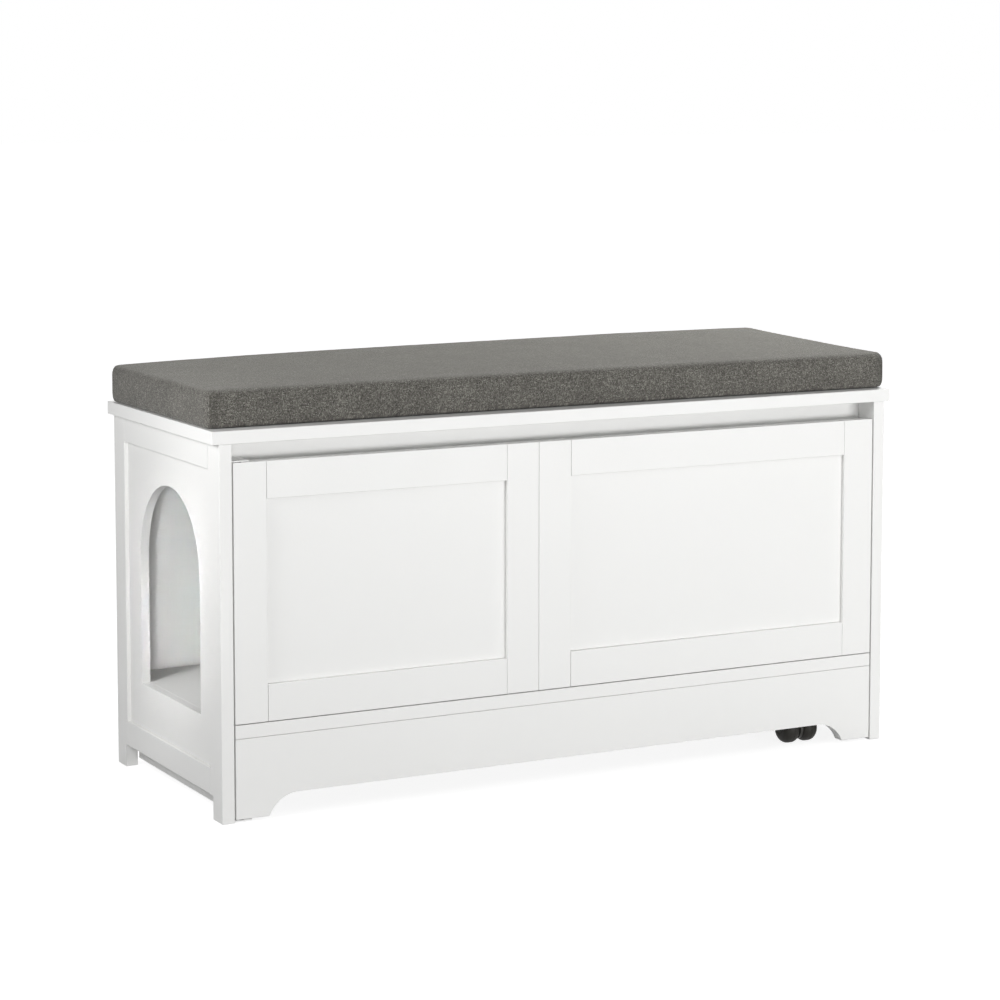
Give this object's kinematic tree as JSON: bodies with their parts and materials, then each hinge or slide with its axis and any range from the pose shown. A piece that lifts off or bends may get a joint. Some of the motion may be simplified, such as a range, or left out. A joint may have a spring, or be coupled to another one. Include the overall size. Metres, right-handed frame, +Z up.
{
  "type": "storage chest with cat bed",
  "caption": "White bench chest for a cat: arched doorway in the left side, wide panelled front that hinges open on a castor, loose grey woven seat cushion.",
  "frame": {"origin": "on the floor at the middle of the box round the case", "axes": "+X to the right along the front, +Y to the back, +Z up; the front faces -Y"},
  "size_m": [1.0221, 0.373, 0.5518],
  "materials": {
    "white_paint": "satin white paint on board",
    "dowel_wood": "bare beech",
    "bright_steel": "zinc plated",
    "zinc": "dull zinc",
    "black_steel": "black coated sheet",
    "white_steel": "white coated sheet",
    "black_plastic": "matte",
    "castor_plastic": "fine moulded texture",
    "wheel_tread": "hard moulded wheel",
    "white_plastic": "satin",
    "dark_magnet": "bare ferrite",
    "grey_weave": "mottled grey linen-look weave"
  },
  "bodies": {
    "case": {"top_board": "white_paint", "left_front_stile": "white_paint", "left_rear_stile": "white_paint", "left_top_rail": "white_paint", "left_bottom_rail": "white_paint", "left_panel": "white_paint", "right_front_stile": "white_paint", "right_rear_stile": "white_paint", "right_top_rail": "white_paint", "right_bottom_rail": "white_paint", "right_panel": "white_paint", "back_panel": "white_paint", "front_top_rail": "white_paint", "rear_top_rail": "white_paint", "rear_bottom_rail": "white_paint", "bottom_board": "white_paint", "left_support_board": "white_paint", "right_support_board": "white_paint", "case_dowels": "dowel_wood", "cam_bolts": "bright_steel", "cam_discs": "zinc", "back_panel_screws": "bright_steel", "support_screws": "bright_steel", "top_pivot_bracket": "white_steel", "bottom_pivot_bracket": "white_steel", "pivot_pins": "bright_steel", "bracket_screws": "white_steel", "catch_body": "white_plastic", "catch_magnet": "dark_magnet", "catch_screws": "bright_steel"},
    "front": {"door_left_stile": "white_paint", "door_left_mid_stile": "white_paint", "door_right_mid_stile": "white_paint", "door_right_stile": "white_paint", "door_left_top_rail": "white_paint", "door_left_bottom_rail": "white_paint", "door_right_top_rail": "white_paint", "door_right_bottom_rail": "white_paint", "door_left_panel": "white_paint", "door_right_panel": "white_paint", "door_strip": "white_paint", "door_dowels": "dowel_wood", "apron": "white_paint", "pivot_bushes": "black_plastic", "joining_plates": "zinc", "joining_screws": "bright_steel", "strike_plate": "zinc", "castor_block": "white_paint", "castor_gusset": "white_paint", "castor_plate": "black_steel", "castor_screws": "black_steel"},
    "castor": {"castor_housing": "castor_plastic", "castor_stem": "bright_steel", "castor_axle": "bright_steel"},
    "wheel_left": {"left_wheel": "wheel_tread"},
    "wheel_right": {"right_wheel": "wheel_tread"},
    "seat_cushion": {"cushion": "grey_weave"}
  },
  "joints": [
    {"name": "front_hinge", "type": "hinge", "parent": "case", "child": "front", "pos_m": [-0.473, -0.1815, 0.25], "axis": [0, 0, -1], "range_deg": [0, 110]},
    {"name": "castor_swivel", "type": "hinge", "parent": "front", "child": "castor", "pos_m": [0.386, -0.1325, 0.053], "axis": [0, 0, 1], "continuous": true},
    {"name": "left_wheel_roll", "type": "hinge", "parent": "castor", "child": "wheel_left", "pos_m": [0.37088, -0.1445, 0.02], "axis": [1, 0, 0], "continuous": true},
    {"name": "right_wheel_roll", "type": "hinge", "parent": "castor", "child": "wheel_right", "pos_m": [0.40113, -0.1445, 0.02], "axis": [1, 0, 0], "continuous": true},
    {"name": "cushion_lift", "type": "slide", "parent": "case", "child": "seat_cushion", "axis": [0, 0, 1], "range_m": [0, 0.25]}
  ]
}
